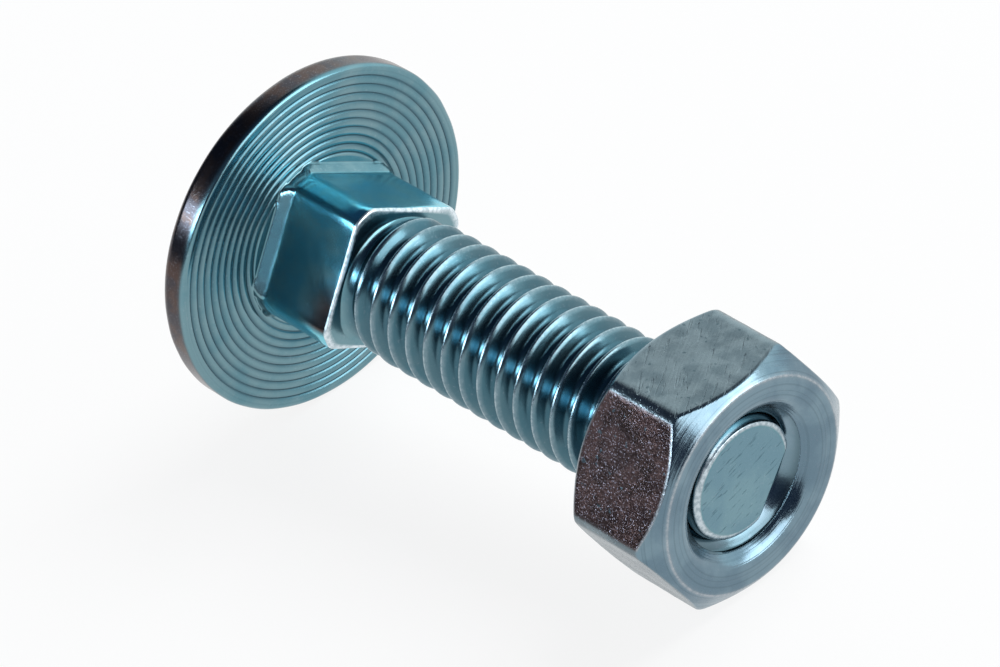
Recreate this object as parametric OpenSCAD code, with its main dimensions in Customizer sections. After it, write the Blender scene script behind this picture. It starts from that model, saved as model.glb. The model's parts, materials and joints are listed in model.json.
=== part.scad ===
// Carriage bolt with a ridged bearing face, and the hex nut screwed on to its end.
// It lies on its side, on the rim of the head and on one flat of the nut.
// Each piece is drawn along its own axis: z = 0 is the bearing face of the head,
// the shank runs up +z, and local +x points down once the bolt lies.

/* [Head] */
// Diameter of the head across its rim
head_d = 24.6; // [22:0.1:28]
// Height of the head from bearing face to crown
head_h = 5.3; // [4.6:0.1:7]
// Radius that rounds the edge of the bearing face
edge_r = 0.35; // [0.2:0.05:0.5]
// Height of the upright band of the rim
band_h = 1.4; // [1:0.1:2]
// Radius that rounds the band into the crown
rim_r = 0.8; // [0.4:0.05:1.2]
// Number of ridges turned on the bearing face
ring_count = 10; // [2:1:10]
// Step from one ridge to the next
ring_step = 0.6; // [0.5:0.01:0.6]
// Diameter of the outermost ridge
ring_d = 23.5; // [21:0.1:25]
// Radius of the round groove between two ridges
groove_r = 0.2; // [0.15:0.01:0.26]
// Depth of the grooves
groove_depth = 0.13; // [0.05:0.01:0.15]

/* [Neck] */
// Width of the square neck across its flats
neck_w = 9.8; // [9.4:0.1:10.4]
// Diameter of the neck across its rounded corners
neck_corner_d = 12.4; // [11.5:0.1:13]
// Length of the neck under the head
neck_h = 6.65; // [5.4:0.05:8]
// Length over which the corners taper at the neck's end
neck_taper = 0.4; // [0.2:0.1:1.5]
// Diameter of the neck across its corners at the very end
neck_end_d = 11.7; // [11:0.1:12.4]
// How far the foot of each flat flares out at the head
flare_w = 0.5; // [0.2:0.05:0.8]
// Height of that flare
flare_h = 1.1; // [0.5:0.1:2]
// Turn of the neck's flats from the nut's flats, in degrees
neck_turn = -32; // [-45:1:45]

/* [Thread] */
// Outer diameter of the thread
thread_d = 9.8; // [9.2:0.05:10]
// Pitch of the thread
pitch = 1.65; // [1.25:0.05:1.75]
// Depth of the thread as a share of its pitch
depth_share = 0.58; // [0.4:0.01:0.65]
// Length of the bolt under its head
bolt_l = 38.4; // [34:0.1:60]
// Diameter of the flat end of the bolt
tip_d = 7.3; // [6.5:0.1:7.6]
// Turns over which the thread rises out of the shank at the neck
runout_turns = 1.6; // [1:0.1:3]
// Turns over which the thread fades at the tip
fade_turns = 0.6; // [0.3:0.1:1]
// Turn of the thread's start about the axis, in degrees
thread_turn = 60; // [0:1:359]
// Facets round the thread
thread_sides = 24; // [20:4:32]

/* [Nut] */
// Width of the nut across its flats
nut_af = 15.9; // [15:0.1:17]
// Width of the nut across its rounded corners
nut_corner_d = 17.9; // [17.4:0.1:18.2]
// Height of the nut
nut_h = 7.9; // [6.5:0.1:9]
// Diameter of the flat round face at each end
face_d = 14.85; // [14:0.05:14.9]
// Slope of the chamfer behind that face, in degrees
chamfer_deg = 38; // [25:1:45]
// Diameter of the countersink at its mouth
sink_d = 11.5; // [11:0.1:13]
// Slope of the countersink, in degrees
sink_deg = 45; // [35:1:60]
// Gap between the nut's bore and the thread's crest
bore_gap = 0.15; // [0.05:0.05:0.3]
// How far the nut's outer face stands past the bolt's end
nut_past_tip = 0.85; // [0:0.05:3]

/* [Hidden] */
round_fn = 96;
groove_fn = 24;
nut_sides = 6;
full_turn = 360;
overlap = 0.6;

head_r = head_d / 2;
neck_r = neck_corner_d / 2;
neck_half = neck_w / 2;
thread_r = thread_d / 2;
depth = depth_share * pitch;
root_r = thread_r - depth;
blank_r = root_r + depth / 2;
tip_r = tip_d / 2;

// The crown is an arc with its centre on the axis, and it touches the circle that rounds the rim
rim_centre_r = head_r - rim_r;
crown_rise = head_h - band_h;
crown_r = (rim_centre_r ^ 2 + crown_rise ^ 2 - rim_r ^ 2) / (2 * (crown_rise - rim_r));
crown_centre_z = crown_r - head_h;

// The two ends of the nut along the bolt
nut_r = nut_af / 2;
corner_r = nut_corner_d / 2;
face_r = face_d / 2;
sink_r = sink_d / 2;
bore_r = thread_r + bore_gap;
nut_outer_z = bolt_l + nut_past_tip;
nut_inner_z = nut_outer_z - nut_h;
flat_drop = (nut_r - face_r) * tan(chamfer_deg);
corner_drop = (corner_r - face_r) * tan(chamfer_deg);
sink_drop = (sink_r - bore_r) * tan(sink_deg);

// The bolt tips until the edge of the head and the end of a nut flat both touch the table
rest_run = nut_outer_z - flat_drop + edge_r;
rest_fall = head_r - edge_r - nut_r;
tilt = atan2(rest_fall, rest_run) + asin(edge_r / norm([rest_run, rest_fall]));
axis_lift = (nut_outer_z - flat_drop) * sin(tilt) + nut_r * cos(tilt);
reach_max = nut_outer_z * cos(tilt) + face_r * sin(tilt);
reach_min = crown_centre_z * cos(tilt) - crown_r;
centre_x = (reach_max + reach_min) / 2;

// One tooth of the thread over one pitch: place along the pitch, and height of the tooth
tooth = [[0.12, 0], [0.38, 0.84], [0.45, 1], [0.55, 1], [0.62, 0.84], [0.88, 0]];
rows = len(tooth);
// Height of the tooth that is left where the thread ends at the tip
least_tooth = 0.12;
// The first turn is plain and hidden in the neck, so that the thread rises at the neck's end
start_sink = 0.04;
helix_z = neck_h - (1 + tooth[0][0]) * pitch - start_sink;
chamfer_z = bolt_l - (root_r - tip_r);
turns = floor((chamfer_z - helix_z) / pitch - 1 - tooth[0][0]);
steps = turns * thread_sides;
step_turn = full_turn / thread_sides;

// Lays a piece drawn along +z down on the table
module lie() {
    translate([-centre_x, 0, axis_lift])
        rotate([0, 90 + tilt, 0])
            children();
}

// Smooth rise from 0 to 1
function rise(t) = let (s = min(1, max(0, t))) s * s * (3 - 2 * s);

// Radius of the thread's surface at a height along the bolt, a step of the helix and a tooth height
function thread_radius(z, step, tooth_h) =
    let (
        grown = rise((z - neck_h) / (runout_turns * pitch)),
        faded = max(least_tooth, rise((steps - step) / (fade_turns * thread_sides))),
        full = root_r + depth * tooth_h * faded
    )
    blank_r + (full - blank_r) * grown;

// Point of the helical surface: step runs round the axis, row runs along the pitch
function thread_point(step, row) =
    let (
        a = thread_turn + step_turn * step,
        z = helix_z + pitch * (step / thread_sides + tooth[row][0]),
        r = thread_radius(z, step, tooth[row][1])
    )
    [r * cos(a), r * sin(a), z];

// Ring of points round the axis
function ring(r, z) = [
    for (i = [0 : thread_sides - 1])
        let (a = thread_turn + step_turn * i)
        [r * cos(a), r * sin(a), z]
];

// Places of the points in the list: the helix, its last root edge, then the three rings
edge_base = (steps + 1) * rows;
foot_base = edge_base + thread_sides;
neckline_base = foot_base + thread_sides;
tip_base = neckline_base + thread_sides;
function at(step, row) =
    row < rows ? step * rows + row
    : step + thread_sides <= steps ? (step + thread_sides) * rows
    : edge_base + step + thread_sides - steps - 1;
function next(i) = (i + 1) % thread_sides;

// Shank with its thread as one closed surface, with a plain ring inside the neck
module threaded_shank() {
    points = concat(
        [for (step = [0 : steps]) for (row = [0 : rows - 1]) thread_point(step, row)],
        [for (i = [1 : thread_sides]) thread_point(steps + i, 0)],
        ring(blank_r, helix_z - overlap),
        ring(root_r, chamfer_z),
        ring(tip_r, bolt_l)
    );
    last = thread_sides - 1;
    last_turn = steps - thread_sides;
    helix = [
        for (step = [0 : steps - 1]) for (row = [0 : rows - 1]) each [
            [at(step, row), at(step, row + 1), at(step + 1, row + 1)],
            [at(step, row), at(step + 1, row + 1), at(step + 1, row)]
        ]
    ];
    foot = [
        for (i = [0 : last - 1]) each [
            [foot_base + i, at(i, 0), at(i + 1, 0)],
            [foot_base + i, at(i + 1, 0), foot_base + i + 1]
        ]
    ];
    foot_seam = [
        [foot_base + last, at(last, 0), at(0, rows)],
        for (row = [rows - 1 : -1 : 0]) [foot_base + last, at(0, row + 1), at(0, row)],
        [foot_base + last, at(0, 0), foot_base]
    ];
    tooth_end = [[for (row = [0 : rows - 1]) at(steps, row)]];
    neckline = [
        for (i = [1 : last]) each [
            [at(last_turn + i, rows), neckline_base + i, neckline_base + next(i)],
            [at(last_turn + i, rows), neckline_base + next(i), at(last_turn + i + 1, rows)]
        ]
    ];
    neckline_seam = [
        [neckline_base + 1, at(last_turn + 1, rows), at(steps, 0)],
        [neckline_base + 1, at(steps, 0), at(steps, rows - 1)],
        [neckline_base + 1, at(steps, rows - 1), at(steps, rows)],
        [neckline_base + 1, at(steps, rows), neckline_base]
    ];
    chamfer = [
        for (i = [0 : last])
            [neckline_base + i, tip_base + i, tip_base + next(i), neckline_base + next(i)]
    ];
    caps = [
        [for (i = [0 : last]) foot_base + i],
        [for (i = [last : -1 : 0]) tip_base + i]
    ];
    polyhedron(
        points = points,
        faces = concat(helix, foot, foot_seam, tooth_end, neckline, neckline_seam, chamfer, caps),
        convexity = 10
    );
}

// Half section of the head: bearing face, upright band, and a crown arc past the round rim
module head_section() {
    past_rim = 1.2;
    past_rim_z = crown_centre_z - (crown_centre_z + band_h) * past_rim;
    translate([0, -band_h])
        square([head_r - edge_r, band_h]);
    translate([0, -band_h])
        square([head_r, band_h - edge_r]);
    translate([head_r - edge_r, -edge_r])
        circle(r = edge_r, $fn = round_fn);
    translate([rim_centre_r, -band_h])
        intersection() {
            circle(r = rim_r, $fn = round_fn);
            translate([0, -rim_r])
                square(rim_r);
        }
    intersection() {
        translate([0, crown_centre_z])
            circle(r = crown_r, $fn = round_fn);
        polygon([
            [0, -band_h],
            [rim_centre_r, -band_h],
            [rim_centre_r * past_rim, past_rim_z],
            [0, past_rim_z]
        ]);
    }
}

// Head with the grooves that leave the ridges of its bearing face
module head() {
    groove_place = (ring_d - ring_step) / 2;
    difference() {
        rotate_extrude($fn = round_fn)
            intersection() {
                head_section();
                translate([0, -head_h])
                    square([head_r, head_h]);
            }
        for (k = [0 : ring_count - 1])
            rotate_extrude($fn = round_fn)
                translate([groove_place - k * ring_step, groove_r - groove_depth])
                    circle(r = groove_r, $fn = groove_fn);
    }
}

// Square neck with round corners that taper at its end, and a flare at the foot of each flat
module neck() {
    corner_cut = sqrt(neck_r ^ 2 - neck_half ^ 2);
    rotate([0, 0, neck_turn]) {
        intersection() {
            translate([-neck_half, -neck_half, -overlap])
                cube([neck_w, neck_w, neck_h + overlap]);
            rotate_extrude($fn = round_fn)
                polygon([
                    [0, -overlap],
                    [neck_r, -overlap],
                    [neck_r, neck_h - neck_taper],
                    [neck_end_d / 2, neck_h],
                    [0, neck_h]
                ]);
        }
        for (k = [0 : 3])
            rotate([0, 0, 90 * k])
                rotate([90, 0, 0])
                    linear_extrude(height = 2 * corner_cut, center = true)
                        polygon([
                            [neck_half - overlap, -overlap],
                            [neck_half + flare_w, -overlap],
                            [neck_half + flare_w, 0],
                            [neck_half, flare_h],
                            [neck_half - overlap, flare_h]
                        ]);
    }
}

// Ridged head, square neck and threaded shank in one piece
module bolt() {
    color([0.56, 0.66, 0.69])
        lie() {
            head();
            neck();
            threaded_shank();
        }
}

// Half section of the nut: chamfered at both ends, bored, and countersunk at both mouths
module nut_section() {
    polygon([
        [bore_r, nut_inner_z + sink_drop],
        [sink_r, nut_inner_z],
        [face_r, nut_inner_z],
        [corner_r, nut_inner_z + corner_drop],
        [corner_r, nut_outer_z - corner_drop],
        [face_r, nut_outer_z],
        [sink_r, nut_outer_z],
        [bore_r, nut_outer_z - sink_drop]
    ]);
}

// Hex nut that the thread carries
module hex_nut() {
    half_side = 180 / nut_sides;
    color([0.46, 0.54, 0.6])
        lie()
            intersection() {
                translate([0, 0, nut_inner_z])
                    rotate([0, 0, half_side])
                        cylinder(r = nut_r / cos(half_side), h = nut_h, $fn = nut_sides);
                rotate_extrude($fn = round_fn)
                    nut_section();
            }
}

bolt();
hex_nut();
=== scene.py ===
"""Looks of a zinc-plated carriage bolt and of the hex nut on its end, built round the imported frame.

Sizes in the classes are millimetres, as on a drawing, and meshes are metres in the frame's axes.
Both pieces are drawn along the bolt's own axis: z is 0 on the bearing face of the head and grows
towards the nut, and an angle of 0 points down to the table and grows towards +Y.
"""

import json
import logging
import math
from dataclasses import dataclass, field
from enum import Enum
from typing import Callable

import bmesh
import bpy
import numpy as np
from mathutils import Matrix, Vector


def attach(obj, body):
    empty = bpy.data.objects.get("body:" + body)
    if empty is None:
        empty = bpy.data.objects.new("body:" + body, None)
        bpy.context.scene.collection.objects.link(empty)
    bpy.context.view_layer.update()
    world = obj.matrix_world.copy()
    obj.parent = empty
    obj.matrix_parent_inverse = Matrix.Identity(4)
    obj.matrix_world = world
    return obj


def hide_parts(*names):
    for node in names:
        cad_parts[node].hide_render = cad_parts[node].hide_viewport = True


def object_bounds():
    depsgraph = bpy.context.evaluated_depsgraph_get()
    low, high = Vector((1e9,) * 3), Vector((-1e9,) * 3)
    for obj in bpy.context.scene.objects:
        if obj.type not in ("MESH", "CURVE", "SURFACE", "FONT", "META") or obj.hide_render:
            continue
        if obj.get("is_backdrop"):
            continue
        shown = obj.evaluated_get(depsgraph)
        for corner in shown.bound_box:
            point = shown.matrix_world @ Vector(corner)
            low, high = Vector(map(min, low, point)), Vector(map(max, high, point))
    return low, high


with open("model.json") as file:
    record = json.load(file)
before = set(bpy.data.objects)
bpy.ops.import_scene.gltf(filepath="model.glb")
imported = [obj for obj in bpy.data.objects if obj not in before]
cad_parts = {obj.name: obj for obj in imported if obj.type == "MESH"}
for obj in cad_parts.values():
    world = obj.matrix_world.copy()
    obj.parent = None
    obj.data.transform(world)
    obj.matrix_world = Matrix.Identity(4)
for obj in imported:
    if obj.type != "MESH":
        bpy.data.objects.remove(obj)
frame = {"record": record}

LOG = logging.getLogger("carriage_bolt")
MM = 0.001

Array = np.ndarray
Colour = tuple[float, float, float]
Direction = tuple[float, float, float]
Pair = tuple[float, float]


class Layer(Enum):
    """What a surface carries at a point, for its material to read.

    Each is a share from 0 to 1, but RING is the distance from the bolt's axis in millimetres.
    """

    # The groove layer is painted shade: it darkens the bottoms of the head's grooves, the nut's thread
    # grooves, and the bolt's thread all over, most in its roots.
    GROOVE = "groove"
    FLAT = "flat"
    # The stain layer is brown stain, and also painted shade that darkens the head's rim band and one side
    # flat of the neck.
    STAIN = "stain"
    # The rub layer is rubbed wear on the thread's crests and end, and a painted highlight on the neck's end
    # edge, on the nut's face edges and on the edges of its stained flat.
    RUB = "rub"
    CUT = "cut"
    RING = "ring"


Marks = dict[Layer, Array | float]
RadiusOf = Callable[[Array, Array], Array]
MarksOf = Callable[[Array, Array], Marks]


def smooth_step(value: Array) -> Array:
    """Rises from 0 to 1 as 3 v^2 - 2 v^3 while value runs from 0 to 1.

    Args:
        value: Numbers of any size; those outside 0 to 1 are cut to it.

    Returns:
        The eased numbers.
    """
    v = np.clip(value, 0.0, 1.0)
    return v * v * (3.0 - 2.0 * v)


def smooth_min(a: Array, b: Array, width: float) -> Array:
    """The lesser of two surfaces, with the edge between them rounded.

    The correction is width / 4 times (1 - |a - b| / width) squared, so it ends where they are width apart.

    Args:
        a: First numbers.
        b: Second numbers.
        width: How far apart they may be and still be rounded.

    Returns:
        The rounded minimum.
    """
    near = np.clip(1.0 - np.abs(a - b) / width, 0.0, 1.0)
    return np.minimum(a, b) - 0.25 * width * near * near


def smooth_max(a: Array, b: Array, width: float) -> Array:
    """The greater of two surfaces, rounded as smooth_min rounds the lesser."""
    return -smooth_min(-a, -b, width)


def fold(angle: Array, half: float) -> Array:
    """Angles less whole steps of 2 x half, so that they lie between -half and half."""
    return np.mod(angle + half, 2.0 * half) - half


def polygon_radius(angle: Array, sides: int, half_width: Array | float, corner: float,
                   soft: float = 0.12) -> Array:
    """Radius of a regular polygon whose corners are cut by a circle, with its first flat at angle 0.

    On a flat the radius is half_width / cos(a), with a the angle from that flat's middle.

    Args:
        angle: Angles in radians.
        sides: Number of flats.
        half_width: Distance from the middle to a flat.
        corner: Radius of the circle that cuts the corners.
        soft: How far apart flat and circle are where their edge starts to be rounded.

    Returns:
        The radius at each angle.
    """
    flat = half_width / np.cos(fold(angle, math.pi / sides))
    return smooth_min(flat, np.full_like(flat, corner), soft)


@dataclass(frozen=True)
class Waves:
    """Slight waves in a surface, of a height and a typical distance between crests in millimetres."""

    height: float
    length: float
    seed: int
    count: int = 12

    def share(self, points: Array) -> Array:
        """The waves as a share of their height: twice the mean of cosine waves in random directions.

        Args:
            points: Places in millimetres, with x, y and z on the last axis.

        Returns:
            Numbers mostly between -1 and 1.
        """
        rng = np.random.default_rng(self.seed)
        directions = rng.normal(size=(self.count, 3))
        directions /= np.linalg.norm(directions, axis=1, keepdims=True)
        lengths = self.length * rng.uniform(0.7, 1.5, size=self.count)
        phases = rng.uniform(0.0, 2.0 * math.pi, size=self.count)
        waves = np.cos(points @ (2.0 * math.pi * directions / lengths[:, None]).T + phases)
        return waves.mean(axis=-1) * 2.0

    def at(self, points: Array) -> Array:
        """How far the waves move the surface at these places."""
        return self.height * self.share(points)


@dataclass(frozen=True)
class Axes:
    """Where the bolt's own axis lies in the frame, in metres."""

    origin: Vector
    along: Vector
    down: Vector
    side: Vector

    @classmethod
    def from_frame(cls, record: dict) -> "Axes":
        """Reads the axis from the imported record.

        Args:
            record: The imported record, with its mounts and its joint.

        Returns:
            The axes, with their origin on the bolt's axis in the plane of the bearing face.
        """
        mounts = {mount["name"]: Vector(mount["pos_m"]) for mount in record["mounts"]}
        along = Vector(record["behaviour"]["joints"][0]["axis"]).normalized()
        side = Vector((0.0, 1.0, 0.0))
        on_axis = mounts["shank"]
        origin = on_axis + along * (mounts["head_seat"] - on_axis).dot(along)
        return cls(origin=origin, along=along, down=side.cross(along).normalized(), side=side)

    def place(self, radius: Array, angle: Array, z: Array) -> Array:
        """Turns round places into the frame's axes.

        The place is the origin plus z along the axis, plus radius times cos(angle) down and
        sin(angle) to the side.

        Args:
            radius: Distance from the axis in millimetres.
            angle: Angle from the downward direction in radians.
            z: Distance from the bearing face in millimetres.

        Returns:
            Places in metres, with x, y and z on the last axis.
        """
        across = np.multiply.outer(radius * np.cos(angle), np.array(self.down))
        beside = np.multiply.outer(radius * np.sin(angle), np.array(self.side))
        ahead = np.multiply.outer(z + 0.0 * radius, np.array(self.along))
        return np.array(self.origin) + MM * (across + beside + ahead)

    def station(self, place: Vector) -> float:
        """How far along the bolt a place of the frame lies, in millimetres."""
        return (place - self.origin).dot(self.along) / MM


class RoundMesh:
    """A mesh built from rings of points round the bolt's axis, and from helical strips."""

    SQUEEZED = 0.45
    MERGE_WITHIN = 2e-7
    SHORTEST_EDGE = 1e-7

    def __init__(self, angles: Array) -> None:
        """Starts an empty mesh.

        Args:
            angles: The angle of every column, rising, within one turn.
        """
        self.angles = angles
        self.columns = len(angles)
        self.radius: list[Array] = []
        self.angle: list[Array] = []
        self.z: list[Array] = []
        self.layers: dict[Layer, list[Array]] = {layer: [] for layer in Layer}
        self.faces: list[list[int]] = []
        self.count = 0

    def _add(self, radius: Array, angle: Array, z: Array, marks: Marks) -> Array:
        """Adds points and returns their places in the list, in the shape of the radii."""
        for store, values in ((self.radius, radius), (self.angle, angle), (self.z, z)):
            store.append(np.broadcast_to(values, radius.shape).ravel())
        for layer, store in self.layers.items():
            store.append(np.broadcast_to(marks.get(layer, 0.0), radius.shape).ravel())
        places = np.arange(self.count, self.count + radius.size).reshape(radius.shape)
        self.count += radius.size
        return places

    def _close(self, corners: Array) -> None:
        """Adds faces, one for each row of corners on the last axis."""
        self.faces += corners.reshape(-1, corners.shape[-1]).tolist()

    def points(self, radius: Array, z: Array) -> Array:
        """Places of rings in millimetres: x down, y to the side and z along the bolt."""
        return np.stack([radius * np.cos(self.angles), radius * np.sin(self.angles), z], axis=-1)

    def rows(self, radius: Array, z: Array, marks: Marks | None = None,
             after: Array | None = None) -> Array:
        """Adds rings of points and the faces between them.

        Args:
            radius: Radii, with rings on the first axis and columns on the second.
            z: Places along the axis, of a shape that fits radius.
            marks: What the material reads at the points.
            after: The ring that these follow, if any.

        Returns:
            The places of the points, in the shape of radius.
        """
        full = np.broadcast_to(radius, (radius.shape[0], self.columns))
        places = self._add(full, np.broadcast_to(self.angles, full.shape), z, marks or {})
        chain = places if after is None else np.vstack([after[None, :], places])
        low, high = chain[:-1], chain[1:]
        self._close(np.stack([low, np.roll(low, -1, 1), np.roll(high, -1, 1), high], axis=-1))
        return places

    def pole(self, ring: Array, z: float, last: bool, marks: Marks | None = None) -> None:
        """Closes a ring with one point on the axis.

        Args:
            ring: The places of the ring's points.
            z: Where the point lies along the axis.
            last: True at the far end of the surface, False at its start.
            marks: What the material reads at the point.
        """
        zero = np.zeros(1)
        tip = self._add(zero, zero, zero + z, marks or {})[0]
        nearer, further = (ring, np.roll(ring, -1)) if last else (np.roll(ring, -1), ring)
        self._close(np.stack([nearer, further, np.full(self.columns, tip)], axis=-1))

    def strip(self, foot: Array, head: Array, radius_of: RadiusOf, marks_of: MarksOf,
              pitch: float, start: float, end: float, shares: Array, phase: float,
              inward: bool = False) -> None:
        """Adds a helical surface between two rings.

        The surface is one long strip. A step runs round the axis by one column and a row runs along
        the pitch, so the last row of a turn is the first row of the next turn. Raw height is
        pitch x (turns + share). From SQUEEZED of a pitch short of either ring it is squeezed
        exponentially, so that the strip settles against the ring without crossing it.

        Args:
            foot: The ring below the strip.
            head: The ring above the strip.
            radius_of: Radius of the surface at an angle and a height.
            marks_of: What the material reads at an angle and a height.
            pitch: Rise of one turn.
            start: Height of the lower ring.
            end: Height of the upper ring.
            shares: Places of the rows along the pitch, rising from 0 to under 1.
            phase: Height of the first row at the first column, less the start.
            inward: True for a surface that faces the axis.
        """
        columns, rows = self.columns, len(shares)
        turns = math.ceil((end - start) / pitch) + 1
        steps = turns * columns
        step = np.arange(steps + columns + 1)
        unrolled = self.angles[step % columns] - self.angles[0] + 2.0 * math.pi * (step // columns)
        grid_turn = unrolled[: steps + 1, None] / (2.0 * math.pi) + shares[None, :]
        tail_turn = unrolled[steps + 1:] / (2.0 * math.pi) + shares[0]
        first = start - pitch + phase
        ease = self.SQUEEZED * pitch

        def heights(turn: Array) -> Array:
            """Height of a row from its turns since the start, squeezed between the two rings."""
            raw = first + pitch * turn
            low = start + ease * np.exp(np.clip((raw - start - ease) / ease, -5.0, 0.0))
            high = end - ease * np.exp(np.clip((end - ease - raw) / ease, -5.0, 0.0))
            return np.where(raw < start + ease, low, np.where(raw > end - ease, high, raw))

        def add(turn: Array, angle: Array) -> Array:
            """Adds the strip's points at these turns and angles."""
            z = heights(turn)
            return self._add(radius_of(angle, z), angle, z, marks_of(angle, z))

        body_angle = np.broadcast_to(self.angles[step[: steps + 1] % columns][:, None], grid_turn.shape)
        body = add(grid_turn, body_angle)
        tail = add(tail_turn, self.angles[step[steps + 1:] % columns])
        shared = np.concatenate([body[columns:, 0], tail])
        full = np.column_stack([body, shared[: steps + 1]])

        quads = np.stack([full[:-1, :-1], full[1:, :-1], full[1:, 1:], full[:-1, 1:]], axis=-1)
        low = full[: columns + 1, 0]
        high = full[steps - columns:, rows]
        foot_quads = np.stack([foot[:-1], foot[1:], low[1:-1], low[:-2]], axis=-1)
        head_quads = np.stack([high[1:-1], high[2:], np.roll(head, -1)[1:], head[1:]], axis=-1)
        foot_rim = np.concatenate([[foot[-1], foot[0]], full[0, :rows], [low[-1]]])
        head_rim = np.concatenate([[head[1], head[0], high[-1]], full[steps, :rows][::-1]])
        foot_fan = np.stack([np.full(len(foot_rim) - 1, low[-2]), foot_rim[:-1], foot_rim[1:]], axis=-1)
        head_fan = np.stack([np.full(len(head_rim) - 1, high[1]), head_rim[:-1], head_rim[1:]], axis=-1)
        for part in (quads, foot_quads, head_quads, foot_fan, head_fan):
            self._close(part[..., ::-1] if inward else part)

    def build(self, name: str, axes: Axes, material: bpy.types.Material) -> bpy.types.Object:
        """Makes the object, with doubled points merged and smooth shading.

        Args:
            name: Name of the object.
            axes: Where the bolt's axis lies.
            material: Finish of the whole piece.

        Returns:
            The new object, at the origin.
        """
        radius, angle, z = (np.concatenate(store) for store in (self.radius, self.angle, self.z))
        mesh = bpy.data.meshes.new(name)
        mesh.from_pydata(axes.place(radius, angle, z).tolist(), [], self.faces)
        for layer, store in self.layers.items():
            data = mesh.attributes.new(layer.value, "FLOAT", "POINT").data
            data.foreach_set("value", np.concatenate(store).astype(np.float32))
        work = bmesh.new()
        work.from_mesh(mesh)
        bmesh.ops.remove_doubles(work, verts=work.verts, dist=self.MERGE_WITHIN)
        bmesh.ops.dissolve_degenerate(work, edges=work.edges, dist=self.SHORTEST_EDGE)
        work.to_mesh(mesh)
        work.free()
        mesh.shade_smooth()
        mesh.materials.append(material)
        piece = bpy.data.objects.new(name, mesh)
        bpy.context.scene.collection.objects.link(piece)
        return piece


@dataclass(frozen=True)
class Thread:
    """A rolled right-hand thread with round crests and roots."""

    diameter: float = 9.8
    pitch: float = 1.65
    depth: float = 0.96
    crest_at: float = 0.36
    crest_share: float = 0.11
    root_share: float = 0.24
    softness: float = 0.24
    crowding: float = 0.055

    @property
    def crest(self) -> float:
        """Radius of the crests."""
        return self.diameter / 2.0

    @property
    def root(self) -> float:
        """Radius of the roots."""
        return self.crest - self.depth

    @property
    def blank(self) -> float:
        """Radius of the shank that the thread is rolled from."""
        return self.crest - 0.5 * self.depth

    def tooth(self, angle: Array, z: Array) -> Array:
        """Height of the tooth, from 0 at the root to 1 at the crest.

        The distance to the nearest crest is folded out of z less the helix's rise at that angle. The
        flank is a straight line between crest and root, and both of its ends are rounded.

        Args:
            angle: Angles in radians.
            z: Heights in millimetres.

        Returns:
            The height of the tooth as a share of its depth.
        """
        turn = (z - self.crest_at) / self.pitch - angle / (2.0 * math.pi)
        away = np.abs(turn - np.round(turn))
        flank = 0.5 - 0.5 * (self.crest_share + self.root_share)
        line = (0.5 - 0.5 * self.root_share - away) / flank
        return smooth_max(smooth_min(line, np.ones_like(line), self.softness), 0.0 * line, self.softness)

    def rows(self, count: int = 13) -> Array:
        """Places of the rows along one pitch, crowded at root and crest by a sine of the share."""
        share = np.arange(count) / count
        return share - self.crowding * np.sin(4.0 * math.pi * share)

    def phase(self, angle: float, start: float) -> float:
        """How far above the start the nearest root lies at an angle."""
        root = self.crest_at + 0.5 * self.pitch + self.pitch * angle / (2.0 * math.pi)
        return float(np.mod(root - start, self.pitch))


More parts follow.
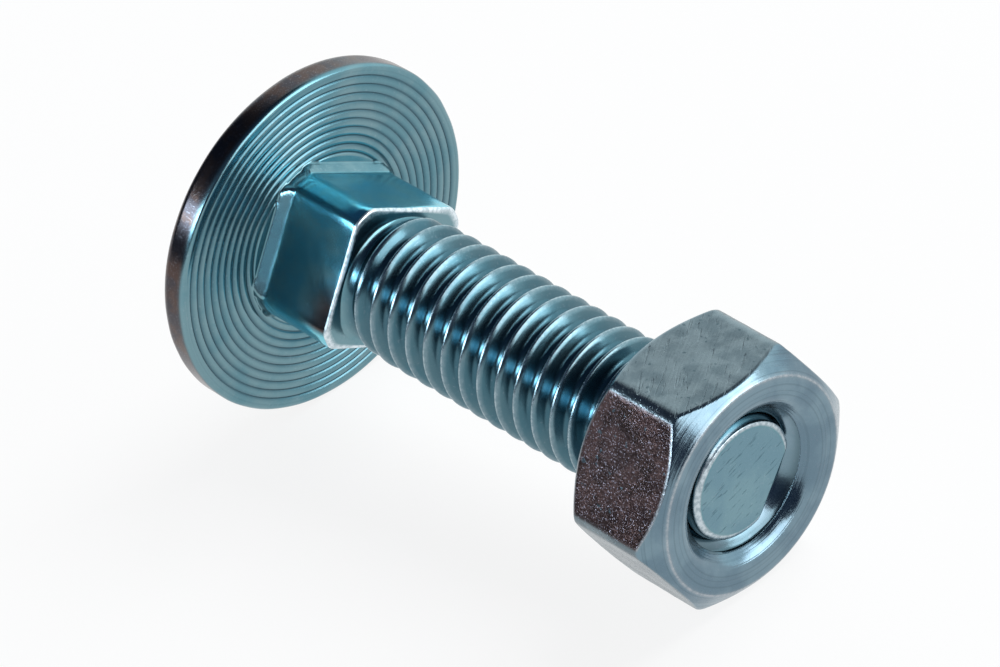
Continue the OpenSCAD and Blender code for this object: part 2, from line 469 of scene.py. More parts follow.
@dataclass
class Bolt:
    """The bolt: ridged mushroom head, square neck and threaded shank, turned from one piece."""

    axes: Axes
    thread: Thread = field(default_factory=Thread)
    columns: int = 192
    head_diameter: float = 24.6
    head_height: float = 5.295
    edge_round: float = 0.35
    band_height: float = 1.4
    rim_round: float = 0.8
    ridge_count: int = 10
    ridge_step: float = 0.6
    ridge_outer: float = 12.05
    ridge_depth: float = 0.13
    crown_waves: Waves = Waves(0.02, 2.5, seed=3)
    neck_width: float = 9.8
    neck_corner: float = 6.3
    neck_soft: float = 0.35
    neck_height: float = 6.65
    neck_turn: float = math.radians(-32.0)
    neck_end_corner: float = 6.04
    neck_taper: float = 0.4
    taper_clear: float = 0.1
    neck_edge: float = 0.22
    # The neck flat darkened by painted shade, with a brown stain patch towards its end.
    neck_shaded_at: float = math.radians(238.0)
    neck_shaded_half: float = math.radians(42.0)
    neck_side_shade: float = 0.55
    neck_patch: float = 0.43
    neck_waves: tuple[Waves, ...] = (Waves(0.028, 4.5, seed=11), Waves(0.006, 1.1, seed=12))
    flare_height: float = 0.8
    flare_width: float = 0.55
    flare_soft: float = 0.3
    length: float = 38.4
    tip_flat: float = 3.65
    tip_round: float = 0.38
    tip_side: float = 4.18
    tip_slope: float = 0.27
    tip_chord: float = 3.05
    tip_chord_slope: float = 0.6
    tip_chord_at: float = math.radians(52.0)
    runout_turns: float = 2.2
    runout_depth: float = 0.25
    # Painted shade: how far the whole thread is darkened, and how much more its roots are.
    thread_shade: float = 0.62
    root_shade: float = 0.36
    crest_rub: float = 0.42
    end_rub: float = 0.7

    def ridges(self, radius: Array) -> tuple[Array, Array]:
        """Height and groove mark of the bearing face at a radius.

        A ridge is a round hump: with s the place across it from 0 to 1, its surface lies
        depth x (1 - 2 s) squared below the face.

        Args:
            radius: Distances from the axis.

        Returns:
            The heights, at most 0, and marks of painted shade that are 1 at the bottom of a groove.
        """
        place = (self.ridge_outer - radius) / self.ridge_step
        across = np.mod(place, 1.0)
        inside = (place > 0.0) & (place < self.ridge_count)
        sunk = np.where(inside, (1.0 - 2.0 * across) ** 2, 0.0)
        return -self.ridge_depth * sunk, sunk

    def neck_radius(self, angle: Array, z: Array) -> Array:
        """Radius of the square neck, with its flare at the head and its cut corners at the end.

        Args:
            angle: Angles in radians.
            z: Heights above the bearing face.

        Returns:
            The radius at each place.
        """
        own = angle - self.neck_turn
        half = self.neck_width / 2.0
        square = polygon_radius(own, 4, half, self.neck_corner, self.neck_soft)
        turned = fold(own, math.pi / 4.0)
        rise = self.flare_width * (1.0 - z / self.flare_height)
        reach = math.sqrt(self.neck_corner**2 - half**2)
        facet = smooth_min((half + rise) / np.cos(turned),
                           reach / np.maximum(np.abs(np.sin(turned)), 0.05), self.flare_soft)
        flared = np.where(rise > -0.2, smooth_max(square, facet, 0.08), square)
        drop = np.clip((z - self.neck_height + self.neck_taper) / self.neck_taper, 0.0, 1.0)
        clear = self.taper_clear
        cone = self.neck_corner + clear + (self.neck_end_corner - self.neck_corner - clear) * drop
        return smooth_min(flared, cone, 0.1)

    def shank_radius(self, angle: Array, z: Array) -> Array:
        """Radius of the threaded shank, from its run-out at the neck to its round point.

        Over the turns of the run-out the thread's depth grows smoothly from a share runout_depth to
        all of it. The point is cut by a cone, by a quarter circle at its edge and by a chord.

        Args:
            angle: Angles in radians.
            z: Heights above the bearing face.

        Returns:
            The radius at each place.
        """
        thread = self.thread
        grown = smooth_step((z - self.neck_height + 0.5) / (self.runout_turns * thread.pitch))
        full = thread.root + thread.depth * thread.tooth(angle, z)
        depth = self.runout_depth + (1.0 - self.runout_depth) * grown
        rolled = thread.blank + (full - thread.blank) * depth
        across = np.maximum(np.cos(angle - self.tip_chord_at), 0.2)
        down = np.clip(self.length - z, 0.0, None)
        turn = np.clip(down / self.tip_round, 0.0, 1.0)
        side = self.tip_side + self.tip_slope * np.clip(down - self.tip_round, 0.0, None)
        edge = self.tip_flat + (self.tip_side - self.tip_flat) * np.sqrt(turn * (2.0 - turn))
        cone = np.where(down < self.tip_round, edge, side)
        chord = (self.tip_chord + self.tip_chord_slope * down) / across
        return smooth_min(rolled, smooth_min(cone, chord, 0.04), 0.06)

    def thread_marks(self, angle: Array, z: Array) -> Marks:
        """Marks of the thread: painted shade over all of it and more in its roots, and crests and end rubbed
        by the nut.
        """
        tooth = self.thread.tooth(angle, z)
        # Painted shade: the whole thread is darkened towards the groove colour, and its roots more.
        tint = self.thread_shade + self.root_shade * (1.0 - tooth)
        crest = self.crest_rub * smooth_step((tooth - 0.88) / 0.12)
        end = self.end_rub * smooth_step((z - self.length + 0.34) / 0.22)
        return {Layer.GROOVE: tint, Layer.RUB: np.maximum(crest, end)}

    def head_rows(self, mesh: RoundMesh) -> Array:
        """Adds the crown, the rim and the ridged bearing face, and returns the last ring.

        The crown is an arc with its centre on the axis, and it touches the circle that rounds the
        rim. Rings of the ridges that would run inside the neck are held at its foot, where they
        merge, and the last few rings blend from the innermost ridge into that foot.

        Args:
            mesh: The mesh that takes the rings.

        Returns:
            The ring at the foot of the neck.
        """
        outer = self.head_diameter / 2.0
        middle = outer - self.rim_round
        rise = self.head_height - self.band_height
        crown = (middle**2 + rise**2 - self.rim_round**2) / (2.0 * (rise - self.rim_round))
        centre = crown - self.head_height
        touch = math.atan2(middle, centre + self.band_height)

        arc = np.linspace(0.02, 1.0, 26) * touch
        radius = [crown * np.sin(arc)]
        height = [centre - crown * np.cos(arc)]
        turn = np.linspace(touch, math.pi / 2.0, 10)[1:]
        radius.append(middle + self.rim_round * np.sin(turn))
        height.append(-self.band_height - self.rim_round * np.cos(turn))
        band = np.linspace(-self.band_height, -self.edge_round, 6)[1:]
        radius.append(np.full_like(band, outer))
        height.append(band)
        turn = np.linspace(0.0, math.pi / 2.0, 8)[1:]
        radius.append(outer - self.edge_round * (1.0 - np.cos(turn)))
        height.append(-self.edge_round * (1.0 - np.sin(turn)))
        radii = np.concatenate(radius)[:, None] + np.zeros(self.columns)
        heights = np.concatenate(height)[:, None] + np.zeros(self.columns)
        waves = self.crown_waves.height * (1.0 + self.crown_waves.share(mesh.points(radii, heights)))
        radii = radii - waves * smooth_step(radii / outer)
        # The rim band is darkened towards dark brown: partly stain, partly painted shade.
        band = smooth_step((radii - middle) / 0.5) * smooth_step((-heights - 0.12) / 0.3)
        first = mesh.rows(radii, heights, {Layer.STAIN: band})
        mesh.pole(first[0], -self.head_height, last=False)

        shares = np.array([0.0, 0.05, 0.14, 0.28, 0.5, 0.72, 0.86, 0.95])
        spans = (np.arange(self.ridge_count)[:, None] + shares).ravel()
        circles = self.ridge_outer - self.ridge_step * spans
        circles = circles[circles < outer - self.edge_round - 0.02]
        last = self.ridge_outer - self.ridge_step * self.ridge_count
        foot = self.neck_radius(mesh.angles, np.zeros(self.columns))
        start = np.maximum(last, foot)
        inner = start + (foot - start) * np.array([0.0, 0.3, 0.6, 0.82, 0.94, 1.0])[:, None]
        held = np.vstack([np.maximum(circles[:, None], foot), inner])
        # The groove mark is painted shade in the bottoms of the ridges' grooves.
        height_of, groove = self.ridges(held)
        return mesh.rows(held, height_of, {Layer.GROOVE: groove}, after=first[-1])[-1]

    def neck_rows(self, mesh: RoundMesh, foot: Array) -> Array:
        """Adds the neck's sides, its round end edge and its shoulder, and returns the last ring.

        Args:
            mesh: The mesh that takes the rings.
            foot: The ring at the foot of the neck.

        Returns:
            The ring where the thread starts.
        """
        low = np.linspace(0.0, 1.0, 8)[1:] * self.flare_height
        high = np.linspace(self.flare_height, self.neck_height - self.neck_edge, 22)[1:]
        z = np.concatenate([low, high])[:, None] + np.zeros(self.columns)
        side = self.neck_radius(mesh.angles, z)
        places = mesh.points(side, z)
        side = side + np.clip(z / 1.5, 0.0, 1.0) * sum(waves.at(places) for waves in self.neck_waves)
        above = smooth_step((z - 0.75 * self.flare_height) / 0.3)
        away = fold(mesh.angles - self.neck_shaded_at, math.pi)
        patch = smooth_step((z - 3.2) / 3.0) * smooth_step((away + 0.15) / 0.6)
        on_side = smooth_step((self.neck_shaded_half - np.abs(away)) / 0.08)
        # Painted shade darkens one side flat; a brown stain patch is added towards its end.
        stain = above * (self.neck_side_shade + self.neck_patch * patch) * on_side
        ring = mesh.rows(side, z, {Layer.FLAT: above, Layer.STAIN: stain}, after=foot)[-1]
        turn = np.linspace(0.0, math.pi / 2.0, 6)[1:, None]
        round_r = side[-1] - self.neck_edge * (1.0 - np.cos(turn))
        round_z = self.neck_height - self.neck_edge * (1.0 - np.sin(turn))
        # The round end edge gets a pale painted highlight, as well as rubbed wear.
        ring = mesh.rows(round_r, round_z, {Layer.RUB: 1.0}, after=ring)[-1]
        start = self.shank_radius(mesh.angles, np.full(self.columns, self.neck_height))
        share = np.linspace(0.0, 1.0, 5)[1:, None]
        inner = round_r[-1] + (start - round_r[-1]) * share
        return mesh.rows(inner, np.full_like(inner, self.neck_height), after=ring)[-1]

    def build(self, material: bpy.types.Material) -> bpy.types.Object:
        """Builds the whole bolt as one closed surface.

        Args:
            material: Its finish.

        Returns:
            The bolt's object.
        """
        mesh = RoundMesh(np.arange(self.columns) * 2.0 * math.pi / self.columns)
        shoulder = self.neck_rows(mesh, self.head_rows(mesh))
        end = self.length - 0.01
        edge = self.shank_radius(mesh.angles, np.full(self.columns, self.length))
        share = np.array([1.0, 0.97, 0.85, 0.6, 0.3, 0.08])[:, None]
        cut = {Layer.CUT: smooth_step((1.0 - share) / 0.03)}
        face = mesh.rows(edge * share, np.full((len(share), self.columns), self.length), cut)
        mesh.pole(face[-1], self.length, last=True, marks={Layer.CUT: 1.0})
        mesh.strip(shoulder, face[0], self.shank_radius, self.thread_marks, self.thread.pitch,
                   self.neck_height, end, self.thread.rows(),
                   self.thread.phase(mesh.angles[0], self.neck_height))
        return mesh.build("bolt_body", self.axes, material)


@dataclass
class Nut:
    """The hex nut: pressed flats, a chamfer and a countersink at both ends, and its own thread."""

    axes: Axes
    inner_z: float
    thread: Thread = field(default_factory=Thread)
    columns_per_flat: int = 34
    width: float = 15.9
    height: float = 7.9
    corner: float = 9.03
    face: float = 7.42
    chamfer: float = math.tan(math.radians(38.0))
    mouth: float = 5.75
    throat: float = 4.98
    clearance: float = 0.07
    stained_at: float = math.radians(240.0)
    stained_half: float = math.radians(29.0)
    flat_sunk: float = 0.02
    waves: tuple[Waves, ...] = (Waves(0.022, 5.0, seed=21), Waves(0.008, 0.9, seed=22))
    inner_mouth_round: float = 0.3
    outer_mouth_round: float = 0.5
    face_round: float = 0.14
    flat_round: float = 0.2
    largest_round: float = 0.45
    # Painted highlights: a pale line along the face edges and along the stained flat's edges.
    face_edge_highlight: float = 0.8
    flat_edge_highlight: float = 3.2

    @property
    def outer_z(self) -> float:
        """Where the outer face lies along the bolt."""
        return self.inner_z + self.height

    def angles(self) -> Array:
        """Angles of the columns, crowded towards the six corners by a cubic of the place on a flat."""
        place = np.arange(self.columns_per_flat) * 2.0 / self.columns_per_flat - 1.0
        across = math.radians(30.0) * (1.5 * place - 0.5 * place**3)
        middles = math.radians(60.0) * np.arange(6)
        return (middles[:, None] + across).ravel()

    def outline(self, angles: Array) -> tuple[Array, Array]:
        """Section of the nut outside its thread, as rings of radii and heights.

        The section is a line of corners. Each is rounded by a parabola between two points on its two
        sides, which lie a set distance from it or largest_round of the side, if that is less.

        Args:
            angles: The angles of the columns.

        Returns:
            Radii and heights, with rings on the first axis.
        """
        flat = polygon_radius(angles, 6, self.width / 2.0, self.corner)
        drop = (flat - self.face) * self.chamfer
        sink = self.mouth - self.throat
        even = np.zeros_like(flat)
        # Each corner has a radius, a height, a rounding and the number of steps to the next corner.
        corners = [
            (even + self.throat, even + self.inner_z + sink, 0.0, 2),
            (even + self.mouth, even + self.inner_z, self.inner_mouth_round, 4),
            (even + self.face, even + self.inner_z, self.face_round, 4),
            (flat, self.inner_z + drop, self.flat_round, 22),
            (flat, self.outer_z - drop, self.flat_round, 6),
            (even + self.face, even + self.outer_z, self.face_round, 5),
            (even + self.mouth, even + self.outer_z, self.outer_mouth_round, 3),
            (even + self.throat, even + self.outer_z - sink, 0.0, 2),
        ]
        points = [np.stack([radius, z], axis=-1) for radius, z, _, _ in corners]
        curve = np.linspace(0.0, 1.0, 7)[:, None, None]
        rings = [points[0][None]]
        leave = points[0]
        for before, here, after, (_, _, width, _), (_, _, _, count) in zip(
                points, points[1:], points[2:], corners[1:], corners):
            enter = self.short_of(here, before, width)
            share = np.linspace(0.0, 1.0, count + 1)[1:-1, None, None]
            rings.append(leave + (enter - leave) * share)
            leave = self.short_of(here, after, width)
            rings.append((1.0 - curve) ** 2 * enter + 2.0 * curve * (1.0 - curve) * here + curve**2 * leave)
        rings.append(points[-1][None])
        path = np.concatenate(rings)
        return path[..., 0], path[..., 1]

    def short_of(self, corner: Array, other: Array, width: float) -> Array:
        """The points a width from a corner on its side towards another, where a rounding ends."""
        side = other - corner
        share = width / np.linalg.norm(side, axis=-1, keepdims=True)
        return corner + side * np.minimum(share, self.largest_round)

    def bore_radius(self, angle: Array, z: Array) -> Array:
        """Radius of the internal thread, which the countersink cuts back at both mouths.

        Args:
            angle: Angles in radians.
            z: Heights above the bearing face.

        Returns:
            The radius at each place.
        """
        thread = self.thread
        cut = thread.root + self.clearance + thread.depth * thread.tooth(angle, z)
        sink = self.mouth - self.throat
        deep = np.minimum(z - self.inner_z, self.outer_z - z) - sink
        return smooth_max(cut, self.throat - deep, 0.1)

    def bore_marks(self, angle: Array, z: Array) -> Marks:
        """Marks of the internal thread, whose grooves lie at the larger radius."""
        # Painted shade in the grooves of the internal thread.
        return {Layer.GROOVE: self.thread.tooth(angle, z)}

    def build(self, material: bpy.types.Material) -> bpy.types.Object:
        """Builds the nut as one closed surface.

        Args:
            material: Its finish.

        Returns:
            The nut's object.
        """
        mesh = RoundMesh(self.angles())
        radius, z = self.outline(mesh.angles)
        places = mesh.points(radius, z)
        flats = polygon_radius(mesh.angles, 6, self.width / 2.0, self.corner)
        on_flat = smooth_step(1.0 - (flats - radius) / 0.12)
        radius = radius + on_flat * (sum(waves.at(places) for waves in self.waves) - self.flat_sunk)
        away = fold(mesh.angles - self.stained_at, math.pi)
        stained = smooth_step((self.stained_half - np.abs(away)) / 0.03)
        # Painted highlights: a pale line round each face's edge and along the edges of the stained flat.
        rub = self.face_edge_highlight * np.exp(-(((radius - self.face) / 0.09) ** 2)) * (1.0 - on_flat)
        rub = rub + self.flat_edge_highlight * on_flat * (1.0 - on_flat) * stained
        rings = mesh.rows(radius, z, {
            Layer.FLAT: on_flat, Layer.STAIN: on_flat * stained, Layer.CUT: 1.0 - on_flat,
            Layer.RING: radius, Layer.RUB: rub})
        sink = self.mouth - self.throat
        mesh.strip(rings[0], rings[-1], self.bore_radius, self.bore_marks, self.thread.pitch,
                   self.inner_z + sink, self.outer_z - sink, self.thread.rows(),
                   self.thread.phase(mesh.angles[0], self.inner_z + sink), inward=True)
        return mesh.build("nut_body", self.axes, material)


class Link:
    """A socket that takes part in Python expressions, each of which adds its Math node."""

    def __init__(self, kit: "Nodes", socket: bpy.types.NodeSocket) -> None:
        self.kit = kit
        self.socket = socket

    def _math(self, operation: str, first: "Link | float", second: "Link | float") -> "Link":
        """Adds a Math node of two values."""
        return self.kit.add("ShaderNodeMath", {"operation": operation}, {0: first, 1: second})

    def __add__(self, other: "Link | float") -> "Link":
        """Sum."""
        return self._math("ADD", self, other)

    def __radd__(self, other: float) -> "Link":
        """Sum with a number on the left."""
        return self._math("ADD", other, self)

    def __sub__(self, other: "Link | float") -> "Link":
        """Difference."""
        return self._math("SUBTRACT", self, other)

    def __rsub__(self, other: float) -> "Link":
        """Difference from a number."""
        return self._math("SUBTRACT", other, self)

    def __mul__(self, other: "Link | float") -> "Link":
        """Product."""
        return self._math("MULTIPLY", self, other)

    def __rmul__(self, other: float) -> "Link":
        """Product with a number on the left."""
        return self._math("MULTIPLY", other, self)


class Nodes:
    """Adds nodes to a node tree."""

    def __init__(self, tree: bpy.types.NodeTree) -> None:
        """Clears a tree and takes it over."""
        self.tree = tree
        tree.nodes.clear()

    def add(self, kind: str, settings: dict | None = None, sockets: dict | None = None,
            output: int | str = 0) -> Link:
        """Adds one node.

        Args:
            kind: The node's type.
            settings: Its properties, which are set first.
            sockets: Values or links of its input sockets, by name or number.
            output: Which output is returned.

        Returns:
            The output, ready for expressions.
        """
        node = self.tree.nodes.new(kind)
        for key, value in (settings or {}).items():
            setattr(node, key, value)
        for key, value in (sockets or {}).items():
            if isinstance(value, Link):
                self.tree.links.new(value.socket, node.inputs[key])
            else:
                node.inputs[key].default_value = value
        return Link(self, node.outputs[output] if node.outputs else None)

    def ramp(self, value: Link, low: float, high: float) -> Link:
        """Runs smoothly from 0 to 1 while value runs from low to high."""
        return self.add("ShaderNodeMapRange", {"interpolation_type": "SMOOTHSTEP"},
                        {"Value": value, "From Min": low, "From Max": high})

    def mix(self, share: Link, first: tuple | Link, second: tuple | Link) -> Link:
        """Mixes two colours."""
        node = self.add("ShaderNodeMix", {"data_type": "RGBA"}, {0: share}, output=2)
        for key, colour in ((6, first), (7, second)):
            socket = node.socket.node.inputs[key]
            if isinstance(colour, Link):
                self.tree.links.new(colour.socket, socket)
            else:
                socket.default_value = (*colour, 1.0)
        return node

    def streaks(self, place: Link, turn: tuple, stretch: tuple, wavelength: float) -> Link:
        """Noise that is drawn out into lines.

        Args:
            place: Coordinates.
            turn: How the lines' own axes are turned, in radians about x, y and z.
            stretch: How many times as long the features are along each of those axes.
            wavelength: Width of the lines in millimetres.

        Returns:
            The noise.
        """
        own = self.add("ShaderNodeMapping", {"vector_type": "TEXTURE"}, {
            "Vector": place, "Rotation": turn, "Scale": stretch})
        return self.noise(own, wavelength, 2.0, 0.45)

    def noise(self, place: Link, wavelength: float, detail: float = 3.0, rough: float = 0.55) -> Link:
        """Noise with a feature size in millimetres."""
        return self.add("ShaderNodeTexNoise", None, {
            "Vector": place, "Scale": 1.0 / (wavelength * MM), "Detail": detail, "Roughness": rough})


@dataclass(frozen=True)
class Pattern:
    """A mask of random spots: noise of a feature size in millimetres, cut between two levels."""

    size: float
    detail: float
    low: float
    high: float

    def mask(self, kit: Nodes, place: Link) -> Link:
        """The mask, which is 0 where the noise is below the low level and 1 above the high one."""
        return kit.ramp(kit.noise(place, self.size, self.detail), self.low, self.high)


@dataclass(frozen=True)
class ZincPlate:
    """Bright zinc plate under a clear blue passivate, with its stains and rubbed crests, and with painted
    shade and painted highlights.
    """

    name: str
    tint: Colour
    second_tint: Colour
    dark_mark_and_shade_tint: Colour
    flat_tint: Colour
    second_flat: Colour
    stain_and_shade_tint: Colour
    second_stain_and_shade: Colour
    speck_tint: Colour
    rub_and_highlight_tint: Colour
    cut_tint: Colour
    second_cut: Colour
    sparkle: float
    pits: float
    roughness: float
    flat_roughness: float
    grain_height: float
    flat_grain_height: float
    line_turn: tuple[float, float, float]
    line_stretch: tuple[float, float, float]
    flat_lines: float
    cut_lines: float
    ring_lines: float
    clouds: Pattern = Pattern(3.2, 4.0, 0.38, 0.62)
    blotches: Pattern = Pattern(1.6, 5.0, 0.42, 0.60)
    specks: Pattern = Pattern(0.17, 2.0, 0.63, 0.72)
    glints: Pattern = Pattern(0.10, 1.0, 0.60, 0.70)
    pitting: Pattern = Pattern(0.5, 1.0, 0.69, 0.73)
    wear: Pattern = Pattern(0.30, 2.0, 0.35, 0.65)
    least_wear: float = 0.55
    grain_size: float = 0.11
    wave_size: float = 0.9
    wave_ratio: float = 5.0
    line_width: float = 0.16
    scratch_width: float = 0.19
    scratch_edge: Pair = (0.60, 0.70)
    rings_per_mm: float = 4.0
    ring_edge: Pair = (0.52, 0.66)
    ring_share: float = 0.12
    speck_share: float = 0.12
    groove_shade_share: float = 0.8
    line_height: float = 0.01
    glint_height: float = 0.006
    worn_height: float = 0.003
    worn_roughness: float = 0.16

    def build(self) -> bpy.types.Material:
        """Builds the material.

        Colour drifts between two tints of the passivate, darkens in pits and with painted shade in
        grooves, roots and over the thread, turns to brown where the piece is stained and darker with
        painted shade on the head's rim band and one neck flat, and is bare and pale where it is rubbed
        and where highlights are painted along edges. Fine grain, broad waves, turned rings, and thin
        lines and scratches along one direction make the bump, and clouds, rubbing, scratches and specks
        make the gloss uneven. Sizes and heights are in millimetres.

        Returns:
            The material.
        """
        material = bpy.data.materials.new(self.name)
        material.use_nodes = True
        kit = Nodes(material.node_tree)
        place = kit.add("ShaderNodeTexCoord", output="Object")
        groove, flat, stain, rub, cut, ring = (
            kit.add("ShaderNodeAttribute", {"attribute_name": layer.value}, output="Fac") for layer in Layer)

        cloud = self.clouds.mask(kit, place)
        blotch = self.blotches.mask(kit, place)
        speck = self.specks.mask(kit, place)
        glint = self.glints.mask(kit, place) * stain * self.sparkle
        pit = self.pitting.mask(kit, place) * flat * self.pits
        # Rubbed wear, and painted highlight lines on edges.
        wear_and_highlight = rub * (self.least_wear + (1.0 - self.least_wear) * self.wear.mask(kit, place))
        grain = kit.noise(place, self.grain_size, 4.0, 0.65)
        waves = kit.noise(place, self.wave_size, 2.0)
        lines = kit.streaks(place, self.line_turn, self.line_stretch, self.line_width)
        scratch = kit.streaks(place, self.line_turn, self.line_stretch, self.scratch_width)
        scratch = kit.ramp(scratch, *self.scratch_edge)
        turned = kit.add("ShaderNodeTexNoise", {"noise_dimensions": "1D"}, {
            "W": ring, "Scale": self.rings_per_mm, "Detail": 3.0, "Roughness": 0.6})

        colour = kit.mix(cloud, self.tint, self.second_tint)
        colour = kit.mix(flat, colour, kit.mix(blotch, self.flat_tint, self.second_flat))
        colour = kit.mix(cut, colour, kit.mix(cloud, self.cut_tint, self.second_cut))
        # Painted shade in grooves and roots, and over the whole bolt thread.
        colour = kit.mix(groove * self.groove_shade_share, colour, self.dark_mark_and_shade_tint)
        # Brown stain, and painted shade on the rim band and one neck flat.
        colour = kit.mix(stain, colour, kit.mix(blotch, self.stain_and_shade_tint, self.second_stain_and_shade))
        colour = kit.mix(wear_and_highlight, colour, self.rub_and_highlight_tint)
        colour = kit.mix(glint, colour, self.speck_tint)
        colour = kit.mix(scratch * cut * self.cut_lines, colour, self.dark_mark_and_shade_tint)
        dark_rings = kit.ramp(turned, *self.ring_edge) * cut * (self.ring_share * self.ring_lines)
        colour = kit.mix(dark_rings, colour, self.dark_mark_and_shade_tint)
        colour = kit.mix(speck * self.speck_share * (1.0 - stain), colour, self.speck_tint)
        colour = kit.mix(pit, colour, self.dark_mark_and_shade_tint)
        rough = self.roughness + (self.flat_roughness - self.roughness) * flat
        rough = rough + self.worn_roughness * wear_and_highlight
        rough = rough + cloud * 0.03 + scratch * cut * 0.08 - speck * 0.04

        fine = self.grain_height + (self.flat_grain_height - self.grain_height) * flat
        height = grain * (fine + self.worn_height * wear_and_highlight)
        height = height + waves * (self.wave_ratio * self.grain_height)
        height = height + glint * self.glint_height
        lined = flat * (self.line_height * self.flat_lines) + cut * (self.line_height * self.cut_lines)
        height = height + (lines - scratch) * lined
        height = height + turned * cut * (self.line_height * self.ring_lines)
        bump = kit.add("ShaderNodeBump", None, {"Height": height, "Strength": 1.0, "Distance": MM})
        shader = kit.add("ShaderNodeBsdfPrincipled", None, {
            "Base Color": colour, "Metallic": 1.0, "Roughness": rough, "Normal": bump})
        kit.add("ShaderNodeOutputMaterial", None, {"Surface": shader})
        return material


@dataclass(frozen=True)
class Lamp:
    """A soft rectangular lamp that faces the bolt and shows in its metal, or else lights the table."""

    name: str
    towards: Direction
    distance: float
    size: Pair
    radiance: float
    colour: Colour
    in_metal: bool = True

    def build(self) -> bpy.types.Object:
        """Builds the lamp at its distance in its direction, turned to the bolt.

        Its power is pi x area x radiance, so that its face looks as bright as asked.

        Returns:
            The lamp's object.
        """
        data = bpy.data.lights.new(self.name, "AREA")
        data.shape = "RECTANGLE"
        data.size, data.size_y = self.size
        data.energy = math.pi * self.size[0] * self.size[1] * self.radiance
        data.color = self.colour
        lamp = bpy.data.objects.new(self.name, data)
        direction = Vector(self.towards).normalized()
        lamp.location = direction * self.distance
        lamp.rotation_euler = direction.to_track_quat("Z", "Y").to_euler()
        lamp.visible_glossy = self.in_metal
        lamp.visible_diffuse = not self.in_metal
        bpy.context.scene.collection.objects.link(lamp)
        return lamp


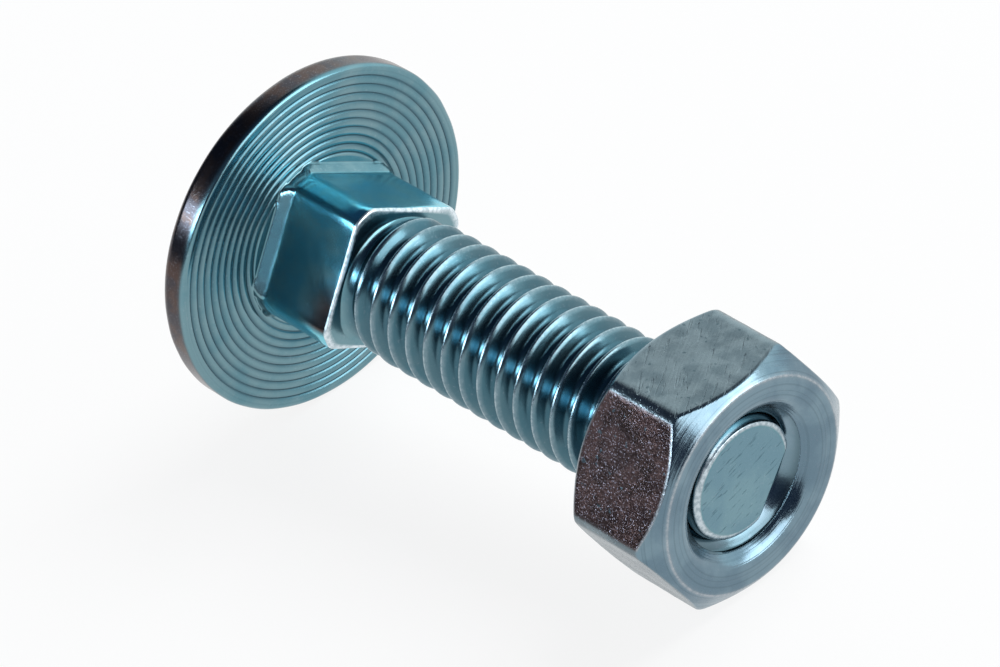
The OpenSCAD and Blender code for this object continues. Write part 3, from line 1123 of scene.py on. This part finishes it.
@dataclass
class Studio:
    """A pale table in plain soft light, and the camera."""

    aim: tuple[float, float, float] = (-0.000606, 0.000117, 0.010823)
    distance: float = 0.38139
    azimuth: float = math.radians(54.685)
    elevation: float = math.radians(34.341)
    roll: float = math.radians(-13.745)
    focal_share: float = 5.99717
    floor_rings: tuple[float, ...] = (0.06, 0.15, 0.3, 1.2)
    floor_columns: int = 96
    floor_tones: tuple[Colour, Colour] = ((0.86, 0.86, 0.86), (0.88, 0.88, 0.88))
    floor_cloud: float = 9.0
    floor_roughness: float = 0.7
    floor_glow: float = 0.88
    wall_side: Direction = (0.0, 1.0, 0.0)
    wall_edge: Pair = (0.06, 0.48)
    ceiling_edge: Pair = (0.68, 0.86)
    dark: Colour = (0.030, 0.045, 0.080)
    bright: Colour = (1.25, 1.38, 1.40)

    def lamps(self) -> list[Lamp]:
        """The lamps: a long strip at the front, a window at the right and a plain top light."""
        return [
            Lamp("strip_lamp", towards=(-0.11, -0.87, 0.477), distance=0.60, size=(1.00, 0.12),
                 radiance=12.5, colour=(0.74, 0.90, 1.0)),
            Lamp("window_lamp", towards=(0.87, 0.30, 0.35), distance=0.70, size=(0.62, 0.46),
                 radiance=3.3, colour=(1.0, 1.0, 1.0)),
            Lamp("top_lamp", towards=(0.10, 0.65, 0.75), distance=1.00, size=(0.60, 0.60),
                 radiance=8.6, colour=(1.0, 1.0, 1.0), in_metal=False),
        ]

    def build_floor(self) -> bpy.types.Object:
        """Builds the table top, a plain pale disc that the metal mirrors as the camera sees it.

        Returns:
            The floor's object.
        """
        rings, columns = np.array(self.floor_rings), self.floor_columns
        angles = np.arange(columns) * 2.0 * math.pi / columns
        flat = np.stack([np.outer(rings, np.cos(angles)), np.outer(rings, np.sin(angles)),
                         np.zeros((len(rings), columns))], axis=-1).reshape(-1, 3)
        points = np.vstack([flat, [[0.0, 0.0, 0.0]]])
        places = np.arange(len(rings) * columns).reshape(len(rings), columns)
        low, high = places[:-1], places[1:]
        quads = np.stack([low, high, np.roll(high, -1, 1), np.roll(low, -1, 1)], axis=-1).reshape(-1, 4)
        fan = np.stack([places[0], np.roll(places[0], -1), np.full(columns, len(flat))], axis=-1)
        mesh = bpy.data.meshes.new("table_top")
        mesh.from_pydata(points.tolist(), [], quads.tolist() + fan.tolist())
        material = bpy.data.materials.new("table_white")
        material.use_nodes = True
        kit = Nodes(material.node_tree)
        place = kit.add("ShaderNodeTexCoord", output="Object")
        tone = kit.mix(kit.noise(place, self.floor_cloud), *self.floor_tones)
        plain = kit.add("ShaderNodeBsdfPrincipled", None, {
            "Base Color": tone, "Roughness": self.floor_roughness})
        camera, mirror, glass = (kit.add("ShaderNodeLightPath", output=f"Is {ray} Ray")
                                 for ray in ("Camera", "Glossy", "Transmission"))
        glow = kit.add("ShaderNodeEmission", None, {"Color": (1.0, 1.0, 1.0, 1.0), "Strength": 1.0})
        shader = kit.add("ShaderNodeMixShader", None, {
            0: (camera + mirror + glass) * self.floor_glow, 1: plain, 2: glow})
        kit.add("ShaderNodeOutputMaterial", None, {"Surface": shader})
        mesh.materials.append(material)
        floor = bpy.data.objects.new("table_top", mesh)
        bpy.context.scene.collection.objects.link(floor)
        floor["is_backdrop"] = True
        return floor

    def build_world(self) -> None:
        """Builds the room's light: one bright wall, dim walls on the other sides and a dim ceiling."""
        world = bpy.data.worlds.new("soft_room")
        bpy.context.scene.world = world
        world.use_nodes = True
        kit = Nodes(world.node_tree)
        direction = kit.add("ShaderNodeTexCoord", output="Generated")
        cosine = kit.add("ShaderNodeVectorMath", {"operation": "DOT_PRODUCT"},
                         {0: direction, 1: self.wall_side}, output="Value")
        height = kit.add("ShaderNodeSeparateXYZ", None, {0: direction}, output=2)
        wall = kit.ramp(cosine, *self.wall_edge) * (1.0 - kit.ramp(height, *self.ceiling_edge))
        room = kit.mix(wall, self.dark, self.bright)
        light = kit.add("ShaderNodeBackground", None, {"Color": room, "Strength": 1.0})
        kit.add("ShaderNodeOutputWorld", None, {"Surface": light})

    def build_camera(self) -> bpy.types.Object:
        """Builds the camera, which looks along the photograph's line and is rolled as it was.

        Returns:
            The camera's object.
        """
        away = Vector((
            math.sin(self.azimuth) * math.cos(self.elevation),
            -math.cos(self.azimuth) * math.cos(self.elevation),
            math.sin(self.elevation)))
        right = Vector((math.cos(self.azimuth), math.sin(self.azimuth), 0.0))
        up = away.cross(right)
        turn = Matrix((right, up, away)).transposed() @ Matrix.Rotation(self.roll, 3, "Z")
        data = bpy.data.cameras.new("camera")
        data.sensor_fit = "HORIZONTAL"
        data.lens = self.focal_share * data.sensor_width
        data.clip_start = 0.01
        camera = bpy.data.objects.new("camera", data)
        camera.matrix_world = Matrix.Translation(Vector(self.aim) + away * self.distance) @ turn.to_4x4()
        bpy.context.scene.collection.objects.link(camera)
        bpy.context.scene.camera = camera
        return camera

    def build(self) -> None:
        """Builds the room, the lamps, the table and the camera."""
        bpy.context.scene.view_settings.view_transform = "Standard"
        self.build_world()
        self.build_floor()
        for lamp in self.lamps():
            lamp.build()
        self.build_camera()


def corners(box: tuple) -> list[list[float]]:
    """A box as plain lists of numbers."""
    return [[float(value) for value in corner] for corner in box]


def main() -> None:
    """Builds the studio, the bolt and the nut, and reports each piece."""
    logging.basicConfig(level=logging.INFO, format="%(message)s")
    cad_box = corners(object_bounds())
    Studio().build()

    axes = Axes.from_frame(frame["record"])
    mounts = {mount["name"]: Vector(mount["pos_m"]) for mount in frame["record"]["mounts"]}
    bolt_finish = ZincPlate(
        "zinc_bolt", tint=(0.18, 0.31, 0.35), second_tint=(0.13, 0.27, 0.32),
        dark_mark_and_shade_tint=(0.030, 0.085, 0.120), flat_tint=(0.15, 0.62, 0.80), second_flat=(0.21, 0.62, 0.73),
        stain_and_shade_tint=(0.055, 0.050, 0.058), second_stain_and_shade=(0.085, 0.058, 0.052),
        speck_tint=(0.55, 0.58, 0.66), rub_and_highlight_tint=(0.78, 0.86, 0.91), cut_tint=(0.18, 0.31, 0.36),
        second_cut=(0.15, 0.27, 0.33), sparkle=0.15, pits=0.0, roughness=0.20, flat_roughness=0.17,
        grain_height=0.0011, flat_grain_height=0.0013,
        line_turn=(math.radians(15.0), 0.0, 0.0), line_stretch=(1.0, 6.0, 1.0),
        flat_lines=0.0, cut_lines=0.5, ring_lines=0.0)
    nut_finish = ZincPlate(
        "zinc_nut", tint=(0.21, 0.30, 0.36), second_tint=(0.17, 0.26, 0.31),
        dark_mark_and_shade_tint=(0.05, 0.09, 0.11), flat_tint=(0.205, 0.255, 0.280), second_flat=(0.150, 0.195, 0.220),
        stain_and_shade_tint=(0.044, 0.028, 0.027), second_stain_and_shade=(0.070, 0.042, 0.040),
        speck_tint=(0.36, 0.33, 0.40), rub_and_highlight_tint=(0.50, 0.53, 0.56), cut_tint=(0.19, 0.28, 0.335),
        second_cut=(0.14, 0.215, 0.27), sparkle=0.5, pits=0.6, roughness=0.17, flat_roughness=0.26,
        grain_height=0.0018, flat_grain_height=0.0030,
        line_turn=(0.0, 0.0, math.radians(-58.0)), line_stretch=(14.0, 1.0, 1.0),
        flat_lines=2.2, cut_lines=0.0, ring_lines=2.0)
    bolt = Bolt(axes).build(bolt_finish.build())
    nut = Nut(axes, inner_z=axes.station(mounts["nut_seat"])).build(nut_finish.build())
    for piece, node, body, slot in (
            (bolt, "bolt", "bolt", "zinc_bolt"), (nut, "hex_nut", "nut", "zinc_nut")):
        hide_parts(node)
        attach(piece, body)
        LOG.info("%s: %d points, %d faces", piece.name, len(piece.data.vertices), len(piece.data.polygons))
    {"cad": cad_box, "visual": corners(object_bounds())}


if __name__ == "__main__":
    main()
